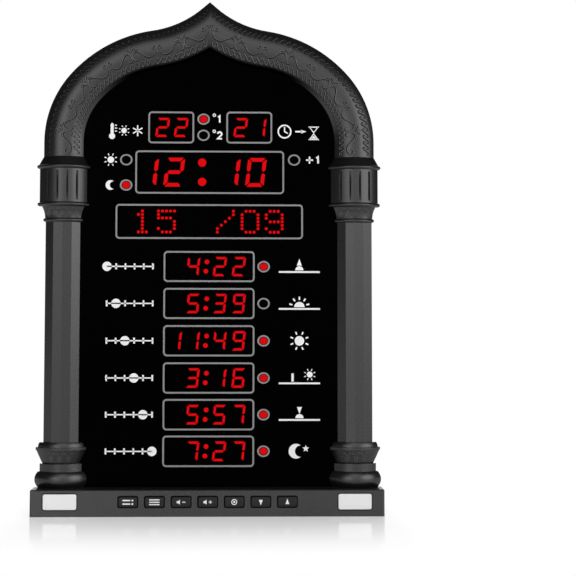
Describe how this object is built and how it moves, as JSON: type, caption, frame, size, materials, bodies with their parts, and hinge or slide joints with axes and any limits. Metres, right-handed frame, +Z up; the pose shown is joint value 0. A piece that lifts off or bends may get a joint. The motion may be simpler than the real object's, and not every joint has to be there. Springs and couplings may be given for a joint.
{
  "type": "azan clock",
  "caption": "Digital prayer-time clock with a black ogee arch frame on two half columns, a glossy display panel and a key-lined base that stands or hangs.",
  "frame": {"origin": "on the table, in the middle of the clock's footprint", "axes": "+Z up, front faces -Y, +X to the viewer's right"},
  "size_m": [0.302, 0.047, 0.448],
  "materials": {
    "frame_plastic": "satin black moulded plastic with a fine speckle",
    "base_plastic": "satin charcoal moulded plastic",
    "panel_acrylic": "polished black acrylic",
    "plate_plastic": "bare white plastic",
    "button_plastic": "satin black moulded plastic",
    "cover_plastic": "fine textured black plastic",
    "circuit_board": "green lacquered board",
    "display_module": "dark potted display housing",
    "led_lens": "clear red lens",
    "black_component": "black moulded component",
    "steel": "plated steel",
    "speaker_steel": "zinc-dipped steel",
    "cone_paper": "pressed black paper",
    "brass_pin": "turned brass",
    "ribbon": "grey ribbon insulation"
  },
  "bodies": {
    "root": {"arch_frame": "frame_plastic", "column_left": "frame_plastic", "column_right": "frame_plastic", "base_housing": "base_plastic", "front_panel": "panel_acrylic", "blank_plate_left": "plate_plastic", "blank_plate_right": "plate_plastic", "back_cover": "cover_plastic", "main_board": "circuit_board", "key_board": "circuit_board", "temperature_display": "display_module", "countdown_display": "display_module", "time_display": "display_module", "date_display": "display_module", "indicator_leds": "led_lens", "ir_receiver": "black_component", "temperature_sensor": "black_component", "tact_switches": "black_component", "case_screws": "steel", "board_screws": "steel", "key_board_screws": "steel", "speaker_screws": "steel", "speaker": "speaker_steel", "speaker_cone": "cone_paper", "dc_jack": "black_component", "jack_nut": "steel", "jack_pin": "brass_pin", "cell_holder": "black_component", "coin_cell": "steel", "ribbon_cable": "ribbon", "row_display_1": "display_module", "row_display_2": "display_module", "row_display_3": "display_module", "row_display_4": "display_module", "row_display_5": "display_module", "row_display_6": "display_module"},
    "button_1": {"button_1": "button_plastic"},
    "button_2": {"button_2": "button_plastic"},
    "button_3": {"button_3": "button_plastic"},
    "button_4": {"button_4": "button_plastic"},
    "button_5": {"button_5": "button_plastic"},
    "button_6": {"button_6": "button_plastic"},
    "button_7": {"button_7": "button_plastic"},
    "battery_door": {"battery_door": "cover_plastic"}
  },
  "joints": [
    {"name": "button_1_press", "type": "slide", "parent": "root", "child": "button_1", "axis": [0, 1, 0], "range_m": [0, 0.0008], "stiffness_N_per_m": 1200, "springref_m": -0.0003},
    {"name": "button_2_press", "type": "slide", "parent": "root", "child": "button_2", "axis": [0, 1, 0], "range_m": [0, 0.0008], "stiffness_N_per_m": 1200, "springref_m": -0.0003},
    {"name": "button_3_press", "type": "slide", "parent": "root", "child": "button_3", "axis": [0, 1, 0], "range_m": [0, 0.0008], "stiffness_N_per_m": 1200, "springref_m": -0.0003},
    {"name": "button_4_press", "type": "slide", "parent": "root", "child": "button_4", "axis": [0, 1, 0], "range_m": [0, 0.0008], "stiffness_N_per_m": 1200, "springref_m": -0.0003},
    {"name": "button_5_press", "type": "slide", "parent": "root", "child": "button_5", "axis": [0, 1, 0], "range_m": [0, 0.0008], "stiffness_N_per_m": 1200, "springref_m": -0.0003},
    {"name": "button_6_press", "type": "slide", "parent": "root", "child": "button_6", "axis": [0, 1, 0], "range_m": [0, 0.0008], "stiffness_N_per_m": 1200, "springref_m": -0.0003},
    {"name": "button_7_press", "type": "slide", "parent": "root", "child": "button_7", "axis": [0, 1, 0], "range_m": [0, 0.0008], "stiffness_N_per_m": 1200, "springref_m": -0.0003},
    {"name": "battery_door_hinge", "type": "hinge", "parent": "root", "child": "battery_door", "pos_m": [-0.06, 0.0235, 0.057], "axis": [-1, 0, 0], "range_deg": [0, 75]}
  ]
}
